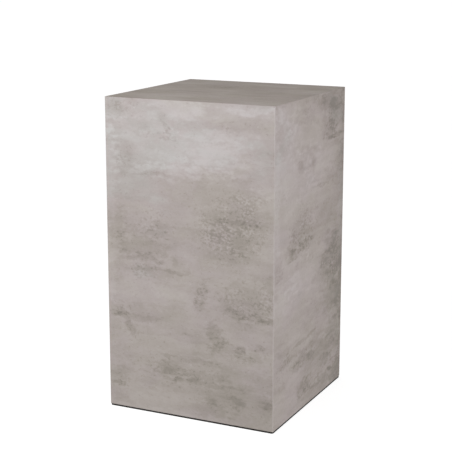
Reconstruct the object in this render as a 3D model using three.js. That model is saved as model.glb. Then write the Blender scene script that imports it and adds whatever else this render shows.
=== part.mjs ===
// Square display plinth with a concrete-look finish. Five boards are mitred along
// every shared edge into a hollow box that is open below. The box stands on four
// thin dark strips, nearly flush with it, that read as a line round its foot.
// Millimetres, +Z up, front face towards -Y, origin on the floor at the centre.

import * as THREE from 'three';

// Overall size
const WIDTH = 400; // along X, across the front face
const DEPTH = 400; // along Y, front face to back face
const HEIGHT = 700; // floor to top face

// Boards
const BOARD_THICKNESS = 18;
const GLUE_LINE = 0.3; // clear distance between two mitre faces
const ARRIS_RADIUS = 1; // rounding of the outer edges
const ARRIS_STEPS = 4; // facets in one board's share of a rounded edge

// Base strips
const FOOT_HEIGHT = 4; // floor to the foot of the walls
const STRIP_CLEARANCE = 0.3; // between a strip and the board edge that rests on it
const STRIP_SETBACK = 0.5; // face of a wall to the outer side of its strip
const STRIP_MARGIN = 5.5; // inner side of a strip to the inner face of its wall
const STRIP_JOINT = 0.3; // clear distance between two strips' mitred ends
const STRIP_CLIP = 2.5; // how far the clipped outer corners reach along each strip

// Finishes
const CONCRETE_LOOK = { color: 0xaba3a0, roughness: 0.5, metalness: 0 };
const DARK_RUBBER = { color: 0x2b2a29, roughness: 0.8, metalness: 0 };

const QUARTER_TURN = Math.PI / 2;

// Stations through a board's thickness, from the outer face inwards. At each one,
// depth is measured from the outer face, and inset is how far a mitred edge has
// run in from the plinth's corner: first round the arris, then along the mitre,
// which stays half a glue line off the corner's diagonal.
function mitreStations() {
  const arcEnd = Math.PI / 4 + Math.asin(GLUE_LINE / (2 * ARRIS_RADIUS));
  const stations = [];
  for (let step = 0; step <= ARRIS_STEPS; step += 1) {
    const angle = THREE.MathUtils.lerp(QUARTER_TURN, arcEnd, step / ARRIS_STEPS);
    stations.push({
      depth: ARRIS_RADIUS * (1 - Math.sin(angle)),
      inset: ARRIS_RADIUS * (1 - Math.cos(angle)),
    });
  }
  stations.push({
    depth: BOARD_THICKNESS,
    inset: BOARD_THICKNESS + GLUE_LINE * Math.SQRT1_2,
  });
  return stations;
}

// A board that stands on the local XY plane, with its outer face at y = 0 looking
// along -Y. Its sides and head are mitred. Its foot is cut square, or is mitred
// too. The solid is the stack of rectangles at the mitre's stations.
function boardGeometry(width, height, squareFoot) {
  const positions = [];
  const triangles = [];
  const stations = mitreStations();

  for (const { depth, inset } of stations) {
    const side = width / 2 - inset;
    const foot = squareFoot ? 0 : inset;
    const head = height - inset;
    positions.push(-side, depth, foot);
    positions.push(side, depth, foot);
    positions.push(side, depth, head);
    positions.push(-side, depth, head);
  }

  triangles.push(0, 1, 2, 0, 2, 3);
  for (let station = 1; station < stations.length; station += 1) {
    const outer = 4 * (station - 1);
    const inner = 4 * station;
    for (let corner = 0; corner < 4; corner += 1) {
      const next = (corner + 1) % 4;
      triangles.push(outer + corner, inner + corner, inner + next);
      triangles.push(outer + corner, inner + next, outer + next);
    }
  }
  const back = 4 * (stations.length - 1);
  triangles.push(back, back + 2, back + 1, back, back + 3, back + 2);

  const geometry = new THREE.BufferGeometry();
  geometry.setAttribute('position', new THREE.Float32BufferAttribute(positions, 3));
  geometry.setIndex(triangles);
  geometry.computeVertexNormals();
  return geometry;
}

function namedMesh(name, geometry, finish) {
  const mesh = new THREE.Mesh(geometry, new THREE.MeshStandardMaterial(finish));
  mesh.name = name;
  return mesh;
}

// A strip on the floor, along the foot of a wall of the given width whose outer
// face is at y = 0 looking along -Y. Its ends are mitred, and their outer corners
// are clipped square to the mitre.
function stripGeometry(width) {
  const outer = STRIP_SETBACK;
  const inner = BOARD_THICKNESS - STRIP_MARGIN;
  const clip = outer + STRIP_CLIP / 2;
  const end = width / 2 - STRIP_JOINT * Math.SQRT1_2;
  const outline = new THREE.Shape([
    new THREE.Vector2(outer + STRIP_CLIP - end, outer),
    new THREE.Vector2(end - outer - STRIP_CLIP, outer),
    new THREE.Vector2(end - clip, clip),
    new THREE.Vector2(end - inner, inner),
    new THREE.Vector2(inner - end, inner),
    new THREE.Vector2(clip - end, clip),
  ]);
  return new THREE.ExtrudeGeometry(outline, {
    depth: FOOT_HEIGHT - STRIP_CLEARANCE,
    bevelEnabled: false,
  });
}

// The four sides. Each is a wall and the strip under it, turned about the vertical
// so that the wall's outer face looks away from the centre.
function sides() {
  const group = new THREE.Group();
  const layout = [
    { name: 'front', width: WIDTH, x: 0, y: -DEPTH / 2, turns: 0 },
    { name: 'right', width: DEPTH, x: WIDTH / 2, y: 0, turns: 1 },
    { name: 'back', width: WIDTH, x: 0, y: DEPTH / 2, turns: 2 },
    { name: 'left', width: DEPTH, x: -WIDTH / 2, y: 0, turns: 3 },
  ];
  for (const { name, width, x, y, turns } of layout) {
    const wallGeometry = boardGeometry(width, HEIGHT - FOOT_HEIGHT, true);
    const wall = namedMesh(`${name}_panel`, wallGeometry, CONCRETE_LOOK);
    wall.position.z = FOOT_HEIGHT;
    const strip = namedMesh(`${name}_strip`, stripGeometry(width), DARK_RUBBER);
    const side = new THREE.Group();
    side.add(wall, strip);
    side.position.set(x, y, 0);
    side.rotation.z = turns * QUARTER_TURN;
    group.add(side);
  }
  return group;
}

// The top board lies with its outer face up and is mitred on all four sides.
function topPanel() {
  const top = namedMesh('top_panel', boardGeometry(WIDTH, DEPTH, false), CONCRETE_LOOK);
  top.position.set(0, -DEPTH / 2, HEIGHT);
  top.rotation.x = -QUARTER_TURN;
  return top;
}

const plinth = new THREE.Group();
plinth.add(sides(), topPanel());

export default plinth;
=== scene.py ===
import math
from collections import namedtuple

import bmesh
import bpy
from mathutils import Matrix, Vector


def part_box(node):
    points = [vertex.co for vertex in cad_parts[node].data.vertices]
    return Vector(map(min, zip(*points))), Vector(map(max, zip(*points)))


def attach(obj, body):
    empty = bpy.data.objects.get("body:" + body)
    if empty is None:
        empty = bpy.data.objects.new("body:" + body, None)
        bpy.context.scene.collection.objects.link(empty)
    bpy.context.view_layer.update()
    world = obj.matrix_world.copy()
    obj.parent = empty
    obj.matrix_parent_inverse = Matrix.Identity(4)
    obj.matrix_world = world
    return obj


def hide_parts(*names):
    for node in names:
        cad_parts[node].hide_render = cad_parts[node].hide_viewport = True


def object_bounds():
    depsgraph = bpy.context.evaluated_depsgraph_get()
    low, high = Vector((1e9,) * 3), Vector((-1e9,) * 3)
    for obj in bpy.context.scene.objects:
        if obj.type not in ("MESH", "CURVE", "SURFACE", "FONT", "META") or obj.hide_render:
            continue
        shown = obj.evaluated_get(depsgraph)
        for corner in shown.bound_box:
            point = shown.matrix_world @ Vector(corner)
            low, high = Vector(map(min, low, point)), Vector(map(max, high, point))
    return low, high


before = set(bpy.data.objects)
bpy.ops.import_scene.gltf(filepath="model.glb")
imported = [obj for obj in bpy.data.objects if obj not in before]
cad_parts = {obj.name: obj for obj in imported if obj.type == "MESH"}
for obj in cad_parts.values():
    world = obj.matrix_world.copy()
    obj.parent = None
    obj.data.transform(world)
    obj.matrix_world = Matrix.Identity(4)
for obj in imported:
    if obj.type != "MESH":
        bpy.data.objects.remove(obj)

MM = 0.001

# The plinth's own sizes, read from the frame

cad_low, cad_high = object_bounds()
WIDTH = cad_high.x - cad_low.x
DEPTH = cad_high.y - cad_low.y
HEIGHT = cad_high.z
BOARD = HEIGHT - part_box("top_panel")[0].z
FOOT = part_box("front_panel")[0].z

# Fine construction of a board

ARRIS_RADIUS = 1.0 * MM
ARRIS_STEPS = 8
GLUE_LINE = 0.05 * MM
SKIN = 0.8 * MM  # depth of the printed surface layer, and of the paper inside
CORE_SLOT, PAPER_SLOT = 1, 2  # a board's material slots; its face has slot 0

# Camera

CAMERA_PLACE = (1.1844, -2.4682, 1.0095)
CAMERA_AZIMUTH = 25.767
CAMERA_ELEVATION = 12.051
FOCAL_LENGTH = 98.39  # millimetres, as is the sensor's width
SENSOR_WIDTH = 36.0
SHIFT_Y = -0.03
CLIP_START = 0.05
CLIP_END = 100.0

# Light and floor

Lamp = namedtuple("Lamp", "name place target size power")
LAMPS = [
    Lamp("key", place=(-0.6, -1.2, 1.15), target=(0, -0.2, 0.6), size=0.7, power=8.0),
    Lamp("fill", place=(1.0, -0.5, 1.2), target=(0.2, -0.1, 0.6), size=0.7, power=1.6),
]
AMBIENT_LIGHT = 0.5
BACKGROUND_WHITE = 1.05
WHITE = (1, 1, 1, 1)
FLOOR_SIZE = 80.0
FLOOR_GREY = (0.45, 0.45, 0.45, 1)
FLOOR_ROUGHNESS = 0.9
FLOOR_SPECULAR = 0.1
FLOOR_GLOW = 0.8

# Patches of a face, as (across, down, width, height, tilt, strength). Across and down
# are from the face's upper left corner to the patch's middle, in millimetres, and the
# tilt is in degrees. The strength is how much lighter or darker a patch of tone is, how
# crowded the speckles are in a patch of them, or how far a patch of hue leans towards
# olive, or if it is below nought towards mauve and then a cool grey.

FRONT_TONES = [
    # Broad zones: the print's own tone with painted light, lighter at the top and down the left edge,
    # and painted shade, darker towards the foot
    (200, 40, 560, 240, 0, 0.28),
    (185, 18, 160, 60, 0, 0.14),
    (190, 112, 400, 120, 0, 0.14),
    (250, 118, 190, 80, 0, 0.10),
    (40, 70, 130, 60, 0, 0.08),
    (8, 150, 52, 260, 0, 0.22),
    (150, 152, 330, 36, 0, 0.16),
    (90, 185, 140, 60, 0, 0.08),
    (100, 422, 240, 84, 0, 0.15),
    (6, 372, 44, 170, 0, 0.14),
    (350, 577, 120, 50, 0, 0.10),
    (125, 668, 180, 60, 0, 0.12),
    (130, 692, 180, 20, 0, 0.10),
    (340, 630, 240, 190, 0, -0.16),
    (200, 600, 480, 120, 0, -0.10),
    (240, 672, 190, 44, 0, -0.12),
    # Streaks near the top
    (25, 24, 74, 38, 0, -0.22),
    (68, 8, 44, 26, 0, -0.13),
    (350, 12, 140, 20, 0, 0.20),
    (225, 14, 60, 40, 0, 0.13),
    (262, 70, 200, 22, 0, 0.13),
    (262, 46, 90, 22, -4, -0.08),
    (330, 42, 170, 32, 4, -0.16),
    (295, 56, 26, 6, -62, -0.22),
    (147, 56, 40, 10, -58, -0.22),
    (140, 35, 30, 30, 0, -0.12),
    (140, 92, 120, 44, 0, -0.14),
    (230, 127, 96, 22, 0, 0.12),
    (100, 150, 74, 18, 0, 0.13),
    (58, 115, 42, 46, 0, -0.12),
    (388, 104, 36, 30, 0, -0.06),
    (382, 166, 64, 50, 0, 0.13),
    (125, 163, 120, 10, 0, -0.18),
    # The large dark patch and what trails from it
    (305, 275, 180, 150, 0, -0.14),
    (295, 295, 120, 80, 0, -0.06),
    (325, 247, 130, 14, 0, -0.18),
    (386, 208, 48, 36, 0, 0.14),
    (292, 168, 64, 26, 0, 0.11),
    (132, 216, 60, 26, 0, 0.12),
    (386, 316, 52, 34, 0, 0.14),
    (360, 236, 50, 30, 0, 0.08),
    (125, 285, 60, 50, 0, -0.10),
    (54, 286, 80, 40, 0, -0.12),
    (274, 306, 60, 34, 0, 0.12),
    (20, 275, 60, 90, 0, -0.18),
    (82, 320, 150, 50, 0, -0.17),
    (88, 347, 140, 22, 0, -0.22),
    (52, 338, 50, 18, 0, -0.15),
    (270, 226, 70, 32, 0, 0.10),
    (215, 318, 90, 50, 0, 0.10),
    (164, 346, 28, 30, 0, -0.14),
    (115, 378, 140, 40, 0, -0.16),
    (170, 374, 100, 9, -3, -0.14),
    (203, 370, 16, 12, 0, -0.14),
    # The mottled patches in the middle
    (232, 420, 40, 76, -20, -0.18),
    (340, 418, 160, 100, 0, -0.15),
    (312, 411, 42, 24, 0, 0.14),
    (305, 438, 30, 22, 0, -0.12),
    (330, 448, 110, 28, 0, -0.14),
    (386, 455, 54, 20, 0, -0.23),
    (390, 382, 28, 56, 0, -0.17),
    (334, 468, 56, 22, 0, -0.10),
    (26, 476, 62, 28, 0, -0.26),
    (60, 484, 130, 22, 0, -0.14),
    (110, 482, 60, 10, 0, -0.08),
    (56, 510, 22, 50, 8, -0.18),
    (264, 500, 48, 60, -8, -0.23),
    (215, 514, 110, 24, 0, -0.12),
    (285, 525, 80, 44, 0, -0.14),
    (321, 522, 36, 18, 0, -0.26),
    (372, 516, 28, 18, 0, -0.20),
    (338, 542, 60, 20, 0, -0.14),
    # The dark bands near the foot
    (152, 560, 44, 8, 0, -0.18),
    (225, 555, 150, 5, 0, 0.10),
    (268, 561, 40, 16, 0, -0.12),
    (230, 567, 120, 14, 0, -0.10),
    (150, 591, 100, 40, 0, -0.20),
    (220, 596, 190, 26, 0, -0.14),
    (245, 613, 200, 18, 0, -0.16),
    (162, 619, 16, 14, 0, -0.14),
    (172, 614, 74, 12, 0, -0.12),
    (120, 636, 114, 16, 0, 0.12),
    (374, 622, 54, 26, 0, 0.13),
    (255, 650, 60, 20, 0, -0.14),
    (318, 641, 44, 28, 0, -0.18),
    (386, 644, 34, 40, 0, -0.16),
    (24, 620, 76, 46, 0, -0.16),
    (25, 645, 50, 12, 0, -0.18),
]
FRONT_SPECKLES = [
    (45, 28, 110, 56, 0, 1.0),
    (160, 75, 70, 40, 0, 1.0),
    (100, 80, 30, 20, 0, 0.5),
    (40, 125, 50, 50, 0, 0.6),
    (190, 120, 20, 40, 0, 0.6),
    (300, 265, 200, 180, 0, 1.15),
    (345, 195, 90, 90, 0, 0.6),
    (120, 270, 120, 90, 0, 0.7),
    (85, 372, 90, 50, 0, 0.85),
    (232, 425, 50, 80, 0, 0.7),
    (345, 412, 180, 120, 0, 0.8),
    (40, 470, 110, 50, 0, 0.7),
    (60, 515, 60, 70, 0, 0.6),
    (270, 505, 60, 70, 0, 0.6),
    (345, 530, 110, 50, 0, 0.6),
    (180, 600, 260, 60, 0, 0.4),
    (385, 635, 40, 50, 0, 0.6),
    (30, 640, 70, 40, 0, 0.6),
]
FRONT_HUES = [
    # Partly painted sheen: these three upper patches lean to cool grey, as a glossy reflection near the top
    # would, and partly the print's own hue
    (60, 90, 260, 270, 0, -0.36),
    (240, 100, 280, 130, 0, -0.22),
    (378, 130, 90, 120, 0, -0.14),
    (70, 220, 240, 130, 0, -0.14),
    (50, 410, 200, 130, 0, -0.14),
    (320, 265, 240, 160, 0, 0.10),
    (330, 440, 200, 110, 0, 0.08),
    (240, 610, 420, 170, 0, 0.12),
]
RIGHT_TONES = [
    # Broad zones: the print's own tone with painted light, lighter near the front edge,
    # and painted shade, darker towards the back edge
    (20, 230, 330, 640, 0, 0.22),
    (58, 20, 150, 50, 0, 0.18),
    (50, 150, 210, 120, 0, 0.16),
    (8, 180, 60, 360, 0, 0.12),
    (60, 560, 300, 320, 0, 0.05),
    (425, 380, 200, 900, 0, -0.22),
    (430, 350, 130, 1200, 0, -0.14),
    (158, 82, 270, 68, 0, 0.24),
    (258, 154, 210, 70, 8, 0.22),
    (195, 212, 160, 56, 0, 0.15),
    (150, 123, 130, 24, 0, 0.12),
    (90, 250, 80, 40, 0, 0.10),
    (30, 430, 120, 90, 0, 0.14),
    (152, 394, 190, 84, 0, 0.18),
    (222, 447, 130, 54, 0, 0.17),
    (100, 626, 130, 60, 0, 0.14),
    (345, 430, 190, 230, 0, -0.18),
    (250, 600, 330, 110, 0, -0.16),
    (290, 676, 300, 56, 0, -0.18),
    (372, 668, 110, 70, 0, -0.26),
    # The dark upper right corner
    (336, 34, 200, 124, 0, -0.29),
    (338, 30, 80, 36, 0, -0.20),
    (325, 42, 60, 44, 0, -0.10),
    (308, 88, 80, 54, 0, -0.26),
    (350, 102, 150, 9, 0, -0.20),
    (352, 132, 110, 52, 0, -0.14),
    (288, 50, 26, 38, 0, 0.18),
    (266, 94, 64, 22, 0, -0.13),
    (216, 6, 110, 18, 0, -0.16),
    (250, 16, 80, 30, 0, -0.12),
    (170, 30, 50, 15, 0, -0.14),
    (170, 72, 60, 20, 0, -0.08),
    # Small marks in the upper half
    (60, 50, 60, 22, 0, 0.18),
    (230, 128, 54, 36, 0, 0.16),
    (139, 143, 44, 26, 0, -0.20),
    (214, 146, 34, 24, 20, -0.24),
    (218, 162, 20, 34, 0, -0.14),
    (178, 144, 44, 40, 0, 0.16),
    (368, 59, 34, 28, 0, 0.22),
    (255, 204, 120, 9, -2, -0.24),
    (340, 190, 86, 30, 0, -0.12),
    (300, 250, 100, 110, 0, -0.08),
    # The slanting patch
    (142, 274, 136, 80, -12, -0.15),
    (104, 308, 74, 62, 0, -0.27),
    (184, 328, 48, 20, 0, -0.14),
    (124, 254, 90, 22, 0, 0.11),
    (108, 330, 112, 28, 0, -0.28),
    (172, 319, 92, 26, 0, -0.26),
    (232, 346, 150, 34, -6, 0.23),
    (202, 276, 80, 50, 0, 0.12),
    (196, 361, 60, 18, 0, 0.16),
    (24, 352, 56, 42, 0, -0.22),
    (45, 377, 110, 9, 0, -0.14),
    # The dark stretch at the middle right
    (330, 344, 96, 64, 0, -0.25),
    (306, 384, 112, 42, 0, -0.23),
    (284, 404, 52, 60, 0, -0.13),
    (332, 428, 84, 60, 0, -0.15),
    (335, 482, 140, 72, 0, -0.19),
    (262, 388, 30, 30, 0, -0.10),
    (382, 290, 42, 150, 0, 0.19),
    (380, 440, 40, 80, 0, 0.10),
    # Streaks near the foot
    (282, 466, 54, 24, 0, 0.16),
    (94, 426, 90, 20, 0, 0.10),
    (108, 514, 110, 44, 0, 0.12),
    (165, 474, 120, 18, 0, -0.08),
    (226, 498, 70, 30, 0, -0.14),
    (170, 538, 200, 10, 3, -0.26),
    (44, 536, 110, 18, -3, -0.19),
    (62, 562, 92, 34, 0, -0.18),
    (150, 575, 120, 34, 0, -0.20),
    (128, 594, 60, 24, 0, -0.24),
    (210, 588, 60, 34, 0, -0.20),
    (232, 555, 80, 30, 0, -0.14),
    (240, 610, 50, 16, 0, 0.14),
    (300, 622, 90, 36, -10, -0.24),
    (170, 650, 90, 40, 0, -0.26),
    (200, 667, 150, 14, 0, -0.20),
    (285, 660, 100, 34, 0, -0.18),
    (350, 560, 130, 66, 0, -0.19),
    (379, 553, 26, 38, 0, 0.22),
    (270, 615, 32, 20, 0, 0.15),
    (14, 656, 50, 42, 0, 0.14),
]
RIGHT_SPECKLES = [
    (45, 205, 80, 50, 0, 0.5),
    (180, 40, 60, 50, 0, 0.5),
    (320, 60, 130, 110, 0, 0.6),
    (150, 285, 200, 130, 0, 0.9),
    (30, 355, 70, 50, 0, 0.6),
    (350, 410, 120, 90, 0, 0.8),
    (60, 556, 80, 40, 0, 0.6),
    (180, 580, 170, 50, 0, 0.5),
    (30, 590, 60, 60, 0, 0.5),
    (200, 655, 130, 50, 0, 0.5),
    (375, 650, 60, 90, 0, 0.6),
]
RIGHT_HUES = [
    (50, 110, 200, 220, 0, -0.14),
    (330, 345, 120, 80, 0, -0.20),
    (310, 55, 150, 140, 0, -0.16),
    (392, 240, 60, 340, 0, -0.34),
    (350, 460, 160, 130, 0, 0.12),
    (200, 600, 400, 140, 0, 0.06),
]
TOP_TONES = [
    (200, 200, 900, 900, 0, 0.18),
    (200, 380, 460, 60, 0, 0.08),
    (140, 95, 120, 150, 0, -0.12),
    (345, 70, 90, 120, 0, -0.16),
    (45, 60, 130, 130, 0, 0.11),
    (255, 60, 110, 120, 0, 0.10),
    (270, 200, 130, 200, 0, -0.15),
    (190, 215, 80, 80, 0, 0.12),
    (100, 295, 160, 150, 0, 0.10),
    (12, 275, 50, 70, 0, -0.14),
    (215, 355, 80, 70, 0, -0.12),
    (310, 345, 150, 70, 0, 0.06),
    (385, 250, 60, 160, 0, -0.08),
]
TOP_SPECKLES = [(150, 120, 180, 90, 0, 0.6), (300, 290, 150, 80, 0, 0.6)]

# A face's look: its patches, how strong its clouds are and how crowded the speckles in
# the dark ones, how much lighter the painted highlight on its edges is, and a tint for all of it
Look = namedtuple("Look", "tones speckles hues clouds gathering wear tint")
FRONT_LOOK = Look(
    tones=FRONT_TONES,
    speckles=FRONT_SPECKLES,
    hues=FRONT_HUES,
    clouds=0.06,
    gathering=0.0,
    wear=0.36,
    tint=(1.0, 1.0, 1.0),
)
RIGHT_LOOK = FRONT_LOOK._replace(
    tones=RIGHT_TONES,
    speckles=RIGHT_SPECKLES,
    hues=RIGHT_HUES,
    tint=(1.035, 1.005, 1.0),
)
TOP_LOOK = Look(
    tones=TOP_TONES,
    speckles=TOP_SPECKLES,
    hues=[],
    clouds=0.14,
    gathering=0.0,
    wear=0.0,
    tint=(1.04, 1.002, 0.936),
)
HIDDEN_LOOK = Look(
    tones=[],
    speckles=[],
    hues=[],
    clouds=0.2,
    gathering=0.9,
    wear=0.36,
    tint=(1.0, 1.0, 1.0),
)

# A noise: its seed, the length and height of its grains, its detail and its roughness.
# It goes from 0 to 1. The seed, which each face adds one of its own to, shifts it by a
# different amount along each axis.
Grain = namedtuple("Grain", "seed length height detail roughness")
NOISE_MIDDLE = 0.5
SEED_SHIFT = (1.0, 2.3, 0.7)
FACE_SEEDS = {"front": 20.0, "right": 40.0, "back": 60.0, "left": 80.0, "top": 120.0}

# A smooth change from low to high, while a value goes from start to end
Fade = namedtuple("Fade", "start end low high")

# Waves that push a face's pattern about: the noise that each one follows, and how far
# it pushes across the face and up or down

WAVES = [
    (Grain(0, 90 * MM, 45 * MM, 2.0, 0.5), 30 * MM, 16 * MM),
    (Grain(1, 26 * MM, 13 * MM, 2.0, 0.5), 24 * MM, 16 * MM),
    (Grain(2, 7 * MM, 3.5 * MM, 2.0, 0.5), 8 * MM, 7 * MM),
]

# How a patch fades. Its depth is 1 in the middle and 0 at the reach, and the fray is
# added to that depth.

PATCH_REACH = 0.8  # from the middle, as a share of the patch's width or height
PATCH_START = 0.28  # the depth at which a patch starts to show
PATCH_FULL = 0.75  # the depth at which it has its whole strength
FRAY_GRAIN = Grain(17, 22 * MM, 12 * MM, 5.0, 0.65)
FRAY = Fade(0.3, 0.7, -0.22, 0.22)
FRAYED_WIDTH = 60  # millimetres; a broader patch frays no further than one this broad

# The printed surface. Its tone picks a colour, from the darkest at 0 to the lightest
# at 1, and each layer below lightens or darkens that tone.

CONCRETE_COLOURS = [
    (0.0, (0.215, 0.193, 0.170)),
    (0.25, (0.300, 0.268, 0.244)),
    (0.5, (0.366, 0.327, 0.309)),
    (0.75, (0.415, 0.376, 0.362)),
    (1.0, (0.475, 0.446, 0.434)),
]
MIDDLE_TONE = 0.5
CLOUD_GRAIN = Grain(3, 190 * MM, 90 * MM, 3.0, 0.5)
CLOUD_START, CLOUD_END = 0.32, 0.68
GATHERING_START, GATHERING_END = 0.48, 0.38
BLOTCH_GRAIN = Grain(4, 46 * MM, 34 * MM, 4.0, 0.6)
BLOTCHES = Fade(0.3, 0.7, -0.07, 0.07)
SMEAR_GRAIN = Grain(5, 120 * MM, 15 * MM, 5.0, 0.55)
SMEARS = Fade(0.36, 0.64, -0.04, 0.04)
MOTTLE_GRAIN = Grain(9, 6 * MM, 5 * MM, 3.0, 0.6)
MOTTLING = Fade(0.25, 0.75, -0.04, 0.04)

# Speckles are the peaks and troughs of one noise, and a crowd of them breaks up where
# the blotches are dark

SPECKLE_GRAIN = Grain(11, 6.5 * MM, 5.5 * MM, 3.0, 0.6)
CROWD_BREAKS = Fade(0.40, 0.56, 0.3, 1.1)
DARK_CROWDING = 0.13
DARK_SPECKLES = Fade(0.60, 0.72, 0.0, -0.20)
PALE_CROWDING = -0.10
PALE_SPECKLES = Fade(0.36, 0.26, 0.0, 0.16)

# Creases are thin lines where a noise crosses its middle, in the light clouds alone

CREASE_GRAIN = Grain(13, 150 * MM, 34 * MM, 3.0, 0.5)
CREASE_LINE = Fade(0.006, 0.0, 0.0, 1.0)
CREASE_CLOUDS = Fade(0.52, 0.6, 0.0, -0.16)

# The left and right edges of a face are lightened over a width in metres: a painted highlight where the
# rounded arris would catch the light

EDGE_HIGHLIGHT_BAND = Fade(2.5 * MM, 1.5 * MM, 0.0, 1.0)
EDGE_HIGHLIGHT_RAGGEDNESS = 1.0 * MM

# The surface's hue drifts along this scale, and patches of hue push it up or down

HUE_GRAIN = Grain(15, 90 * MM, 50 * MM, 3.0, 0.5)
COOL = (0.977, 1.007, 1.012)
MAUVE = (1.005, 0.993, 1.010)
OLIVE = (0.997, 1.003, 0.980)
HUES = [(0.14, COOL), (0.38, MAUVE), (0.62, OLIVE)]

# Gloss and relief of the printed surface

SMEAR_ROUGHNESS = Fade(0.35, 0.65, 0.56, 0.46)
SPECKLE_ROUGHNESS = -0.3
EDGE_HIGHLIGHT_ROUGHNESS = -0.06
SURFACE_SPECULAR = 0.25
SURFACE_IOR = 1.45
MOTTLE_RELIEF = 0.5
SURFACE_RELIEF = 0.12 * MM

# Chipboard

CHIPS_PER_METRE = 420.0
DUST_GRAIN = Grain(31, 1.2 * MM, 1.2 * MM, 3.0, 0.5)
DUST_SHARE, CHIP_SHARE = 0.5, 0.6
CORE_COLOURS = [(0.1, (0.16, 0.10, 0.055)), (0.5, (0.34, 0.23, 0.135)), (0.9, (0.52, 0.39, 0.25))]
CORE_ROUGHNESS = Fade(0.3, 0.7, 0.8, 0.95)
CORE_RELIEF = 0.3 * MM

# Backing paper

PAPER_CLOUD_GRAIN = Grain(41, 120 * MM, 90 * MM, 3.0, 0.5)
FIBRE_GRAIN = Grain(43, 9 * MM, 1.2 * MM, 3.0, 0.5)
FIBRE_SHARE, PAPER_CLOUD_SHARE = 0.4, 0.6
PAPER_COLOURS = [(0.3, (0.36, 0.335, 0.30)), (0.7, (0.47, 0.445, 0.41))]
PAPER_ROUGHNESS = Fade(0.3, 0.7, 0.6, 0.75)
PAPER_RELIEF = 0.05 * MM

# Rubber of the base strips

RUBBER_GRAIN = Grain(51, 0.8 * MM, 0.8 * MM, 3.0, 0.6)
BLOOM_GRAIN = Grain(53, 30 * MM, 30 * MM, 3.0, 0.5)
RUBBER_SHARE, BLOOM_SHARE = 0.5, 0.5
RUBBER_COLOURS = [(0.25, (0.012, 0.011, 0.010)), (0.5, (0.024, 0.022, 0.020)), (0.8, (0.055, 0.051, 0.046))]
RUBBER_ROUGHNESS = Fade(0.3, 0.7, 0.75, 0.95)
RUBBER_SPECULAR = 0.1
RUBBER_RELIEF = 0.1 * MM


def add_node(tree, kind, inputs=None, **settings):
    """A new node. Each input is a value or the socket that feeds it."""
    made = tree.nodes.new(kind)
    for name, value in settings.items():
        setattr(made, name, value)
    for key, value in (inputs or {}).items():
        if isinstance(value, bpy.types.NodeSocket):
            tree.links.new(value, made.inputs[key])
        else:
            made.inputs[key].default_value = value
    return made


def calculate(tree, operation, *values):
    inputs = dict(enumerate(values))
    return add_node(tree, "ShaderNodeMath", inputs, operation=operation).outputs["Value"]


def total(tree, *values):
    result = values[0]
    for value in values[1:]:
        result = calculate(tree, "ADD", result, value)
    return result


def mixture(tree, first, first_share, second, second_share):
    """Both values, each times its share, added up."""
    rest = calculate(tree, "MULTIPLY", second, second_share)
    return calculate(tree, "MULTIPLY_ADD", first, first_share, rest)


def smooth_range(tree, value, start, end, low, high):
    """Low where the value is at its start, high at its end, and smooth between."""
    inputs = {"Value": value, "From Min": start, "From Max": end, "To Min": low, "To Max": high}
    made = add_node(tree, "ShaderNodeMapRange", inputs, interpolation_type="SMOOTHSTEP")
    return made.outputs["Result"]


def own_place(tree):
    """The place on the piece, in its own coordinates."""
    return add_node(tree, "ShaderNodeTexCoord").outputs["Object"]


def noise(tree, place, grain, face_seed=0.0, output="Fac"):
    """Noise of this grain at a place, with the seed of the face that it is on."""
    seed = grain.seed + face_seed
    inputs = {
        "Vector": place,
        "Location": [seed * shift for shift in SEED_SHIFT],
        "Scale": (1 / grain.length, 1 / grain.height, 1 / grain.length),
    }
    stretched = add_node(tree, "ShaderNodeMapping", inputs).outputs["Vector"]
    inputs = {"Vector": stretched, "Scale": 1.0, "Detail": grain.detail, "Roughness": grain.roughness}
    return add_node(tree, "ShaderNodeTexNoise", inputs).outputs[output]


def patches(tree, place, fray, layout):
    """The sum of soft, frayed ellipses on a face, each by its own strength."""
    result = 0.0
    for across, down, width, height, tilt, strength in layout:
        inputs = {
            "Vector": place,
            "Location": (across * MM, -down * MM, 0),
            "Rotation": (0, 0, math.radians(tilt)),
            "Scale": (PATCH_REACH * width * MM, PATCH_REACH * height * MM, 1),
        }
        inside = add_node(tree, "ShaderNodeMapping", inputs, vector_type="TEXTURE").outputs["Vector"]
        ball = add_node(tree, "ShaderNodeTexGradient", {"Vector": inside}, gradient_type="SPHERICAL")
        fraying = min(1.0, FRAYED_WIDTH / min(width, height))
        depth = calculate(tree, "MULTIPLY_ADD", fray, fraying, ball.outputs["Fac"])
        patch = smooth_range(tree, depth, PATCH_START, PATCH_FULL, 0.0, strength)
        result = calculate(tree, "ADD", result, patch)
    return result


def wavy(tree, place, seed):
    """The place pushed about, more across the face than up and down, so that edges look smeared."""
    result = place
    for grain, across, up in WAVES:
        push = noise(tree, place, grain, seed, output="Color")
        inputs = {0: push, 1: 3 * (NOISE_MIDDLE,)}
        centred = add_node(tree, "ShaderNodeVectorMath", inputs, operation="SUBTRACT")
        inputs = {0: centred.outputs["Vector"], 1: (across, up, 0), 2: result}
        pushed = add_node(tree, "ShaderNodeVectorMath", inputs, operation="MULTIPLY_ADD")
        result = pushed.outputs["Vector"]
    return result


def new_material(name):
    material = bpy.data.materials.new(name)
    material.use_nodes = True
    tree = material.node_tree
    return material, tree, tree.nodes["Principled BSDF"]


def ramp(tree, value, stops):
    """The colour at a value, from (position, colour) stops in rising order."""
    made = add_node(tree, "ShaderNodeValToRGB", {"Fac": value})
    elements = made.color_ramp.elements
    while len(elements) < len(stops):
        elements.new(1.0)
    for element, (position, colour) in zip(elements, stops):
        element.position = position
        element.color = (*colour, 1)
    return made.outputs["Color"]


def bump(tree, shader, height, distance):
    inputs = {"Height": height, "Distance": distance, "Strength": 1.0}
    made = add_node(tree, "ShaderNodeBump", inputs)
    tree.links.new(made.outputs["Normal"], shader.inputs["Normal"])


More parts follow.
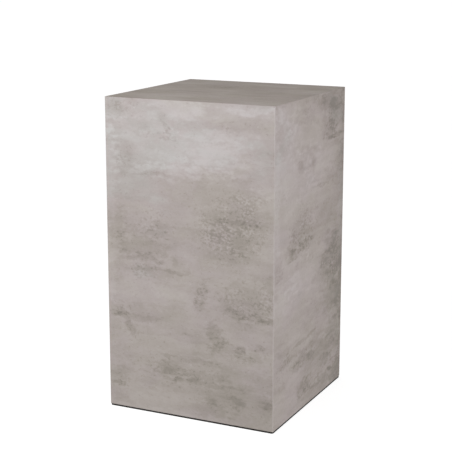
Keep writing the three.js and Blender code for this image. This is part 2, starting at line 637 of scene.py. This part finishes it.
def speckles(tree, place, seed, density, blotch):
    """The tones of the dark speckles and of the pale ones."""
    crowd_breaks = smooth_range(tree, blotch, *CROWD_BREAKS)
    crowded = calculate(tree, "MULTIPLY", density, crowd_breaks)
    grain = noise(tree, place, SPECKLE_GRAIN, seed)
    peaks = calculate(tree, "MULTIPLY_ADD", crowded, DARK_CROWDING, grain)
    dark = smooth_range(tree, peaks, *DARK_SPECKLES)
    troughs = calculate(tree, "MULTIPLY_ADD", crowded, PALE_CROWDING, grain)
    pale = smooth_range(tree, troughs, *PALE_SPECKLES)
    return dark, pale


def creases(tree, smeared, seed, cloud):
    """The tone of the thin dark creases."""
    wander = noise(tree, smeared, CREASE_GRAIN, seed)
    off_middle = calculate(tree, "ABSOLUTE", calculate(tree, "SUBTRACT", wander, NOISE_MIDDLE))
    line = smooth_range(tree, off_middle, *CREASE_LINE)
    return calculate(tree, "MULTIPLY", line, smooth_range(tree, cloud, *CREASE_CLOUDS))


def highlit_edges(tree, place, width, mottle):
    """1 along the left and right edges of a face of this width, 0 away from them, ragged between: the mask
    of a painted highlight along the arrises.
    """
    across = add_node(tree, "ShaderNodeSeparateXYZ", {0: place}).outputs["X"]
    edge_distance = calculate(tree, "MINIMUM", across, calculate(tree, "SUBTRACT", width, across))
    uneven = calculate(tree, "MULTIPLY_ADD", mottle, EDGE_HIGHLIGHT_RAGGEDNESS, edge_distance)
    return smooth_range(tree, uneven, *EDGE_HIGHLIGHT_BAND)


def tinted(colour, tint):
    return tuple(part * share for part, share in zip(colour, tint))


def concrete_look(side, width, look):
    """The printed concrete-look surface of one face, laid out on the board's own coordinates, with painted
    light and shade among its tone patches.
    """
    material, tree, shader = new_material(side + "_face")
    seed = FACE_SEEDS[side]
    place = own_place(tree)
    smeared = wavy(tree, place, seed)
    fray = smooth_range(tree, noise(tree, place, FRAY_GRAIN, seed), *FRAY)

    # Tone patches: mostly the print, with painted light and shade in the broad zones of the front and right
    # faces
    patch_tone = patches(tree, smeared, fray, look.tones)
    cloud = noise(tree, smeared, CLOUD_GRAIN, seed)
    cloud_tone = smooth_range(tree, cloud, CLOUD_START, CLOUD_END, -look.clouds, look.clouds)
    gathered = smooth_range(tree, cloud, GATHERING_START, GATHERING_END, 0.0, look.gathering)
    density = calculate(tree, "ADD", patches(tree, smeared, fray, look.speckles), gathered)
    blotch = noise(tree, smeared, BLOTCH_GRAIN, seed)
    blotch_tone = smooth_range(tree, blotch, *BLOTCHES)
    smear = noise(tree, smeared, SMEAR_GRAIN, seed)
    smear_tone = smooth_range(tree, smear, *SMEARS)
    mottle = noise(tree, place, MOTTLE_GRAIN, seed)
    mottle_tone = smooth_range(tree, mottle, *MOTTLING)
    dark_tone, pale_tone = speckles(tree, place, seed, density, blotch)
    crease_tone = creases(tree, smeared, seed, cloud)
    # Painted highlight: the left and right edges of the face are made lighter where the rounded arris would
    # catch the light
    edge_highlight = highlit_edges(tree, place, width, mottle)
    edge_highlight_tone = calculate(tree, "MULTIPLY", edge_highlight, look.wear)
    tone = total(tree, MIDDLE_TONE, patch_tone, cloud_tone, blotch_tone, smear_tone, mottle_tone)
    tone = total(tree, tone, dark_tone, pale_tone, crease_tone, edge_highlight_tone)

    # Hue patches, which on the front include a painted sheen that cools the upper part
    drift = noise(tree, smeared, HUE_GRAIN, seed)
    leaning = calculate(tree, "ADD", drift, patches(tree, smeared, fray, look.hues))
    hues = [(position, tinted(hue, look.tint)) for position, hue in HUES]
    colours = {0: ramp(tree, tone, CONCRETE_COLOURS), 1: ramp(tree, leaning, hues)}
    coloured = add_node(tree, "ShaderNodeVectorMath", colours, operation="MULTIPLY").outputs["Vector"]
    tree.links.new(coloured, shader.inputs["Base Color"])

    smear_roughness = smooth_range(tree, smear, *SMEAR_ROUGHNESS)
    roughness = calculate(tree, "MULTIPLY_ADD", dark_tone, SPECKLE_ROUGHNESS, smear_roughness)
    roughness = calculate(tree, "MULTIPLY_ADD", edge_highlight, EDGE_HIGHLIGHT_ROUGHNESS, roughness)
    tree.links.new(roughness, shader.inputs["Roughness"])
    shader.inputs["Specular IOR Level"].default_value = SURFACE_SPECULAR
    shader.inputs["IOR"].default_value = SURFACE_IOR
    relief = total(tree, calculate(tree, "MULTIPLY", mottle, MOTTLE_RELIEF), smear_tone, dark_tone)
    bump(tree, shader, relief, SURFACE_RELIEF)
    return material


def board_core():
    """Chipboard cut across: pale and dark chips in fine dust."""
    material, tree, shader = new_material("board_core")
    place = own_place(tree)
    inputs = {"Vector": place, "Scale": CHIPS_PER_METRE, "Randomness": 1.0}
    chips = add_node(tree, "ShaderNodeTexVoronoi", inputs, feature="F1")
    chip = add_node(tree, "ShaderNodeSeparateColor", {0: chips.outputs["Color"]}).outputs["Red"]
    dust = noise(tree, place, DUST_GRAIN)
    mixed = mixture(tree, dust, DUST_SHARE, chip, CHIP_SHARE)
    tree.links.new(ramp(tree, mixed, CORE_COLOURS), shader.inputs["Base Color"])
    tree.links.new(smooth_range(tree, dust, *CORE_ROUGHNESS), shader.inputs["Roughness"])
    bump(tree, shader, mixed, CORE_RELIEF)
    return material


def backing():
    """The plain grey paper on a board's inner face: faint fibres and a few clouds."""
    material, tree, shader = new_material("backing")
    place = own_place(tree)
    cloud = noise(tree, place, PAPER_CLOUD_GRAIN)
    fibre = noise(tree, place, FIBRE_GRAIN)
    mixed = mixture(tree, fibre, FIBRE_SHARE, cloud, PAPER_CLOUD_SHARE)
    tree.links.new(ramp(tree, mixed, PAPER_COLOURS), shader.inputs["Base Color"])
    tree.links.new(smooth_range(tree, fibre, *PAPER_ROUGHNESS), shader.inputs["Roughness"])
    bump(tree, shader, fibre, PAPER_RELIEF)
    return material


def base_strip():
    """Matt black rubber: fine grains, and a dry bloom here and there."""
    material, tree, shader = new_material("base_strip")
    place = own_place(tree)
    grain = noise(tree, place, RUBBER_GRAIN)
    bloom = noise(tree, place, BLOOM_GRAIN)
    mixed = mixture(tree, grain, RUBBER_SHARE, bloom, BLOOM_SHARE)
    tree.links.new(ramp(tree, mixed, RUBBER_COLOURS), shader.inputs["Base Color"])
    tree.links.new(smooth_range(tree, bloom, *RUBBER_ROUGHNESS), shader.inputs["Roughness"])
    shader.inputs["Specular IOR Level"].default_value = RUBBER_SPECULAR
    bump(tree, shader, grain, RUBBER_RELIEF)
    return material


def stations():
    """(depth, inset) of a board's edge, from its outer face inwards.

    The edge runs round the arris, then along the mitre, half a glue line off the diagonal.
    """
    arc_end = math.pi / 4 + math.asin(GLUE_LINE / (2 * ARRIS_RADIUS))
    made = []
    for step in range(ARRIS_STEPS + 1):
        angle = math.pi / 2 + (arc_end - math.pi / 2) * step / ARRIS_STEPS
        made.append((ARRIS_RADIUS * (1 - math.sin(angle)), ARRIS_RADIUS * (1 - math.cos(angle))))
    half_line = GLUE_LINE * math.sqrt(0.5)
    for depth in (SKIN, BOARD - SKIN, BOARD):
        made.append((depth, depth + half_line))
    return made


def board_mesh(name, width, height, square_foot):
    """A mitred board. Its outer face looks along +Z, and the origin is that face's upper left corner."""
    mesh = bmesh.new()
    rings = []
    for depth, inset in stations():
        left, right = inset, width - inset
        foot = -height if square_foot else inset - height
        corners = [(left, foot), (right, foot), (right, -inset), (left, -inset)]
        rings.append([mesh.verts.new((x, y, -depth)) for x, y in corners])
    mesh.faces.new(rings[0])
    for index in range(len(rings) - 1):
        near, far = rings[index], rings[index + 1]
        for corner in range(4):
            following = (corner + 1) % 4
            face = mesh.faces.new((near[corner], far[corner], far[following], near[following]))
            face.smooth = index < ARRIS_STEPS and not (square_foot and corner == 0)
            if index > ARRIS_STEPS:
                face.material_index = CORE_SLOT
            if index == len(rings) - 2:
                face.material_index = PAPER_SLOT
    inner = mesh.faces.new(reversed(rings[-1]))
    inner.material_index = PAPER_SLOT
    arris_end = set(rings[ARRIS_STEPS])
    for edge in mesh.edges:
        if arris_end.issuperset(edge.verts):
            edge.smooth = False
    mesh.normal_update()
    data = bpy.data.meshes.new(name)
    mesh.to_mesh(data)
    mesh.free()
    return data


def board(name, node, width, height, corner, across, up, square_foot, materials):
    """One board, with its outer face's upper left corner, and two directions along that face."""
    data = board_mesh(name, width, height, square_foot)
    for material in materials:
        data.materials.append(material)
    across, up = Vector(across), Vector(up)
    piece = bpy.data.objects.new(name, data)
    turn = Matrix((across, up, across.cross(up))).transposed()
    piece.matrix_world = Matrix.Translation(corner) @ turn.to_4x4()
    bpy.context.scene.collection.objects.link(piece)
    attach(piece, "root")
    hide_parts(node)


def boards():
    """The four walls and the top."""
    core, paper = board_core(), backing()
    wall = HEIGHT - FOOT
    x, y = WIDTH / 2, DEPTH / 2
    upright = (0, 0, 1)
    layout = [
        ("front", WIDTH, (-x, -y, HEIGHT), (1, 0, 0), FRONT_LOOK),
        ("right", DEPTH, (x, -y, HEIGHT), (0, 1, 0), RIGHT_LOOK),
        ("back", WIDTH, (x, y, HEIGHT), (-1, 0, 0), HIDDEN_LOOK),
        ("left", DEPTH, (-x, y, HEIGHT), (0, -1, 0), HIDDEN_LOOK),
    ]
    for side, width, corner, across, look in layout:
        materials = [concrete_look(side, width, look), core, paper]
        board(side + "_board", side + "_panel", width, wall, corner, across, upright, True, materials)
    materials = [concrete_look("top", WIDTH, TOP_LOOK), core, paper]
    board("top_board", "top_panel", WIDTH, DEPTH, (-x, y, HEIGHT), (1, 0, 0), (0, 1, 0), False, materials)


def strips():
    """The four base strips, which keep their shapes from the frame."""
    rubber = base_strip()
    for side in ("front", "right", "back", "left"):
        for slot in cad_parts[side + "_strip"].material_slots:
            slot.material = rubber


def camera():
    data = bpy.data.cameras.new("camera")
    data.sensor_width = SENSOR_WIDTH
    data.sensor_fit = "HORIZONTAL"
    data.lens = FOCAL_LENGTH
    data.shift_y = SHIFT_Y
    data.clip_start = CLIP_START
    data.clip_end = CLIP_END
    made = bpy.data.objects.new("camera", data)
    made.location = CAMERA_PLACE
    made.rotation_euler = (math.radians(90 - CAMERA_ELEVATION), 0, math.radians(CAMERA_AZIMUTH))
    bpy.context.scene.collection.objects.link(made)
    bpy.context.scene.camera = made


def floor():
    """A pale floor that is lit from below as well, as a photographer's light table is."""
    bpy.ops.mesh.primitive_plane_add(size=FLOOR_SIZE)
    made = bpy.context.object
    made.name = "floor"
    material, _, shader = new_material("floor")
    shader.inputs["Base Color"].default_value = FLOOR_GREY
    shader.inputs["Roughness"].default_value = FLOOR_ROUGHNESS
    shader.inputs["Specular IOR Level"].default_value = FLOOR_SPECULAR
    shader.inputs["Emission Color"].default_value = WHITE
    shader.inputs["Emission Strength"].default_value = FLOOR_GLOW
    made.data.materials.append(material)


def area_light(lamp):
    """A square lamp that faces its target and doesn't show in the picture."""
    data = bpy.data.lights.new(lamp.name, "AREA")
    data.shape = "SQUARE"
    data.size = lamp.size
    data.energy = lamp.power
    made = bpy.data.objects.new(lamp.name, data)
    made.location = lamp.place
    aim = Vector(lamp.target) - Vector(lamp.place)
    made.rotation_euler = aim.to_track_quat("-Z", "Y").to_euler()
    made.visible_camera = False
    bpy.context.scene.collection.objects.link(made)


def lighting():
    """Even light from all round, two soft lamps in front, and a studio that looks white past the floor."""
    world = bpy.data.worlds.new("studio")
    bpy.context.scene.world = world
    world.use_nodes = True
    tree = world.node_tree
    background = tree.nodes["Background"]
    background.inputs["Color"].default_value = WHITE
    seen = add_node(tree, "ShaderNodeLightPath").outputs["Is Camera Ray"]
    strength = calculate(tree, "MULTIPLY_ADD", seen, BACKGROUND_WHITE - AMBIENT_LIGHT, AMBIENT_LIGHT)
    tree.links.new(strength, background.inputs["Strength"])
    for lamp in LAMPS:
        area_light(lamp)


camera()
floor()
lighting()
boards()
strips()

bpy.context.scene.view_settings.view_transform = "Standard"
bpy.context.scene.view_settings.look = "None"
